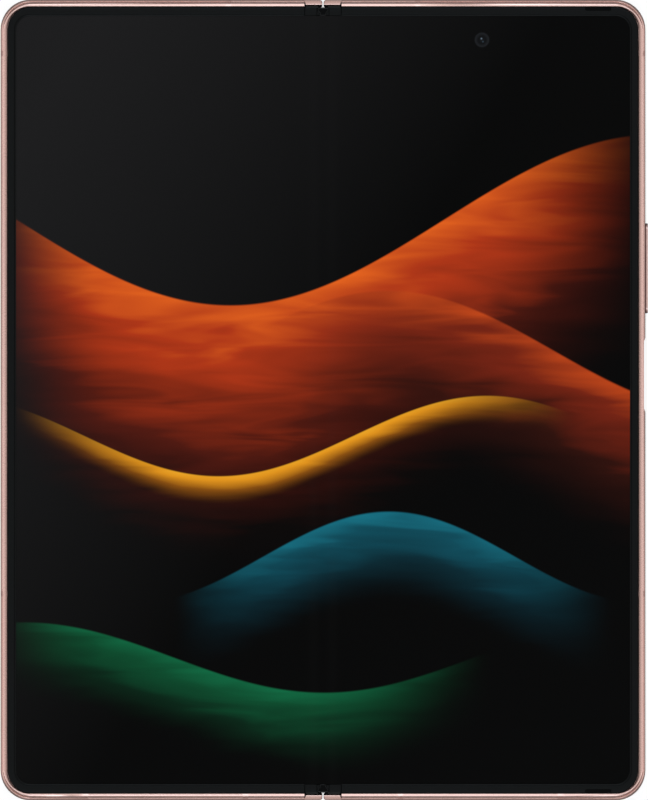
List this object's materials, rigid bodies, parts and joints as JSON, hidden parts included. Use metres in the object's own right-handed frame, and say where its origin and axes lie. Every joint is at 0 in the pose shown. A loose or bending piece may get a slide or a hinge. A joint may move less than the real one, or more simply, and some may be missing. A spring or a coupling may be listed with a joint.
{
  "type": "foldable smartphone",
  "caption": "Book-style foldable smartphone, open flat: two thin metal-framed halves on a geared double hinge, folding inner screen, rear camera island, outer screen, side keys and card tray.",
  "frame": {"origin": "under the middle of the hinge, level with the outer face of the camera island, the lowest face when the phone lies open on its back", "axes": "+X across the hinge towards the half with the keys and the rear cameras, +Y along the hinge towards the top, +Z out of the inner screen"},
  "size_m": [0.1287, 0.1592, 0.0089],
  "materials": {
    "anodised_frame": "anodised aluminium, satin bronze pink",
    "antenna_band": "moulded band in the frame's colour, a shade darker",
    "bezel_black": "black moulded bezel, satin",
    "rubber_black": "black rubber",
    "back_glass": "etched matte glass, bronze",
    "black_glass": "polished black glass",
    "screen": "folding screen, glossy, dark",
    "steel": "rolled steel sheet",
    "gear_brass": "sintered and plated gear metal",
    "hinge_black": "black moulded hinge end",
    "lens_metal": "turned lens ring, darker bronze",
    "camera_black": "black camera barrel",
    "flash_lens": "pale diffuser",
    "circuit_board": "solder mask, green",
    "shield_can": "tinned shield can",
    "battery_wrap": "battery foil, dark grey",
    "coil_copper": "printed copper coil",
    "flex_amber": "polyimide flexible circuit",
    "module_grey": "speaker box plastic",
    "magnet": "nickel plated magnet"
  },
  "bodies": {
    "right_half": {"right_frame": "anodised_frame", "right_antenna_bands": "antenna_band", "right_bezel": "bezel_black", "bezel_pads": "rubber_black", "right_back_glass": "back_glass", "camera_frame": "lens_metal", "camera_glass": "black_glass", "lens_rings": "lens_metal", "lens_covers": "black_glass", "wide_camera": "camera_black", "ultrawide_camera": "camera_black", "telephoto_camera": "camera_black", "flash_led": "flash_lens", "display_right": "screen", "display_plate_right": "steel", "front_camera": "camera_black", "main_board": "circuit_board", "board_shields": "shield_can", "main_battery": "battery_wrap", "wireless_coil": "coil_copper", "usb_c_shell": "steel", "usb_c_tongue": "camera_black", "sub_board": "circuit_board", "vibration_motor": "shield_can", "right_rotators": "steel", "right_gear_sector": "steel", "right_screws": "steel", "side_key_flex": "flex_amber", "right_magnets": "magnet"},
    "spine": {"hinge_cover": "anodised_frame", "hinge_brackets": "steel", "hinge_end_caps": "hinge_black", "display_fold": "screen", "hinge_flex_cables": "flex_amber"},
    "left_half": {"left_frame": "anodised_frame", "left_antenna_bands": "antenna_band", "left_bezel": "bezel_black", "cover_glass": "black_glass", "cover_display": "screen", "cover_camera": "camera_black", "second_battery": "battery_wrap", "left_board": "circuit_board", "top_speaker": "module_grey", "bottom_speaker": "module_grey", "sim_reader": "shield_can", "display_left": "screen", "display_plate_left": "steel", "left_rotators": "steel", "left_gear_sector": "steel", "left_screws": "steel", "left_magnets": "magnet"},
    "right_pinion": {"right_pinion": "gear_brass"},
    "right_idler": {"right_idler": "gear_brass"},
    "left_idler": {"left_idler": "gear_brass"},
    "left_pinion": {"left_pinion": "gear_brass"},
    "volume_key": {"volume_key": "anodised_frame"},
    "power_key": {"power_key": "anodised_frame"},
    "sim_tray": {"sim_tray": "anodised_frame"}
  },
  "joints": [
    {"name": "fold_right", "type": "hinge", "parent": "right_half", "child": "spine", "pos_m": [0.00188, 0, 0.00851], "axis": [0, 1, 0], "range_deg": [0, 91.2], "deforming": ["display_fold", "hinge_flex_cables"]},
    {"name": "fold_left", "type": "hinge", "parent": "spine", "child": "left_half", "pos_m": [-0.00188, 0, 0.00851], "axis": [0, 1, 0], "range_deg": [0, 91.2]},
    {"name": "right_pinion_spin", "type": "hinge", "parent": "spine", "child": "right_pinion", "pos_m": [0.00325, 0, 0.00584], "axis": [0, 1, 0], "range_deg": [-370, 370]},
    {"name": "right_idler_spin", "type": "hinge", "parent": "spine", "child": "right_idler", "pos_m": [0.00112, 0, 0.00584], "axis": [0, 1, 0], "range_deg": [-370, 370]},
    {"name": "left_idler_spin", "type": "hinge", "parent": "spine", "child": "left_idler", "pos_m": [-0.00112, 0, 0.00584], "axis": [0, 1, 0], "range_deg": [-370, 370]},
    {"name": "left_pinion_spin", "type": "hinge", "parent": "spine", "child": "left_pinion", "pos_m": [-0.00325, 0, 0.00584], "axis": [0, 1, 0], "range_deg": [-370, 370]},
    {"name": "volume_rock", "type": "hinge", "parent": "right_half", "child": "volume_key", "pos_m": [0.0627, 0.0262, 0.00517], "axis": [0, 0, 1], "range_deg": [-1.2, 1.2], "stiffness_Nm_per_rad": 0.5},
    {"name": "power_press", "type": "slide", "parent": "right_half", "child": "power_key", "axis": [-1, 0, 0], "range_m": [0, 0.00025], "stiffness_N_per_m": 5000},
    {"name": "sim_tray_slide", "type": "slide", "parent": "left_half", "child": "sim_tray", "axis": [-1, 0, 0], "range_m": [0, 0.022]}
  ],
  "couplings": [
    {"joint": "fold_left", "follows": "fold_right", "ratio": 1},
    {"joint": "right_pinion_spin", "follows": "fold_right", "ratio": -4},
    {"joint": "right_idler_spin", "follows": "fold_right", "ratio": 3.5556},
    {"joint": "left_idler_spin", "follows": "fold_right", "ratio": -3.5556},
    {"joint": "left_pinion_spin", "follows": "fold_right", "ratio": 4}
  ]
}
